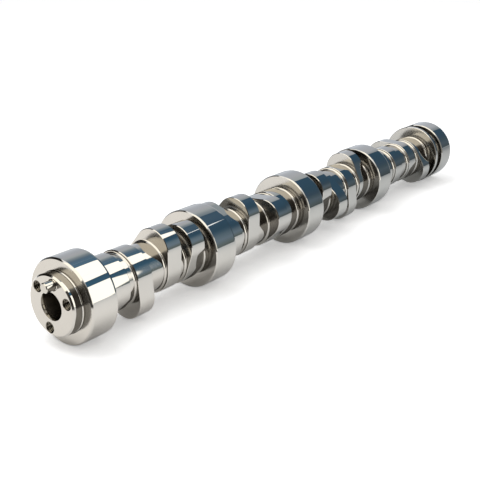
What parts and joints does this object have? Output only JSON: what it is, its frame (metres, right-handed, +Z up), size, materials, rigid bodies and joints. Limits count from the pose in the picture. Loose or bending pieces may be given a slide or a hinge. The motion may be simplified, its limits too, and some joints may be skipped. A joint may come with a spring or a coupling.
{
  "type": "camshaft",
  "caption": "Solid turned and ground engine camshaft with round bearing journals, egg-shaped lobes between them, a bored nose with tapped holes and a timing dowel.",
  "frame": {"origin": "centre of the front journal's thrust face, on the shaft's axis", "axes": "+Y along the axis from the nose to the rear end, +Z up as the shaft lies on its journals, +X to the right seen from the nose"},
  "size_m": [0.055, 0.4937, 0.055],
  "materials": {
    "polished_steel": "mirror-polished ground steel",
    "pin_steel": "fine-ground steel"
  },
  "bodies": {
    "root": {"camshaft": "polished_steel", "dowel_pin": "pin_steel"}
  },
  "joints": []
}
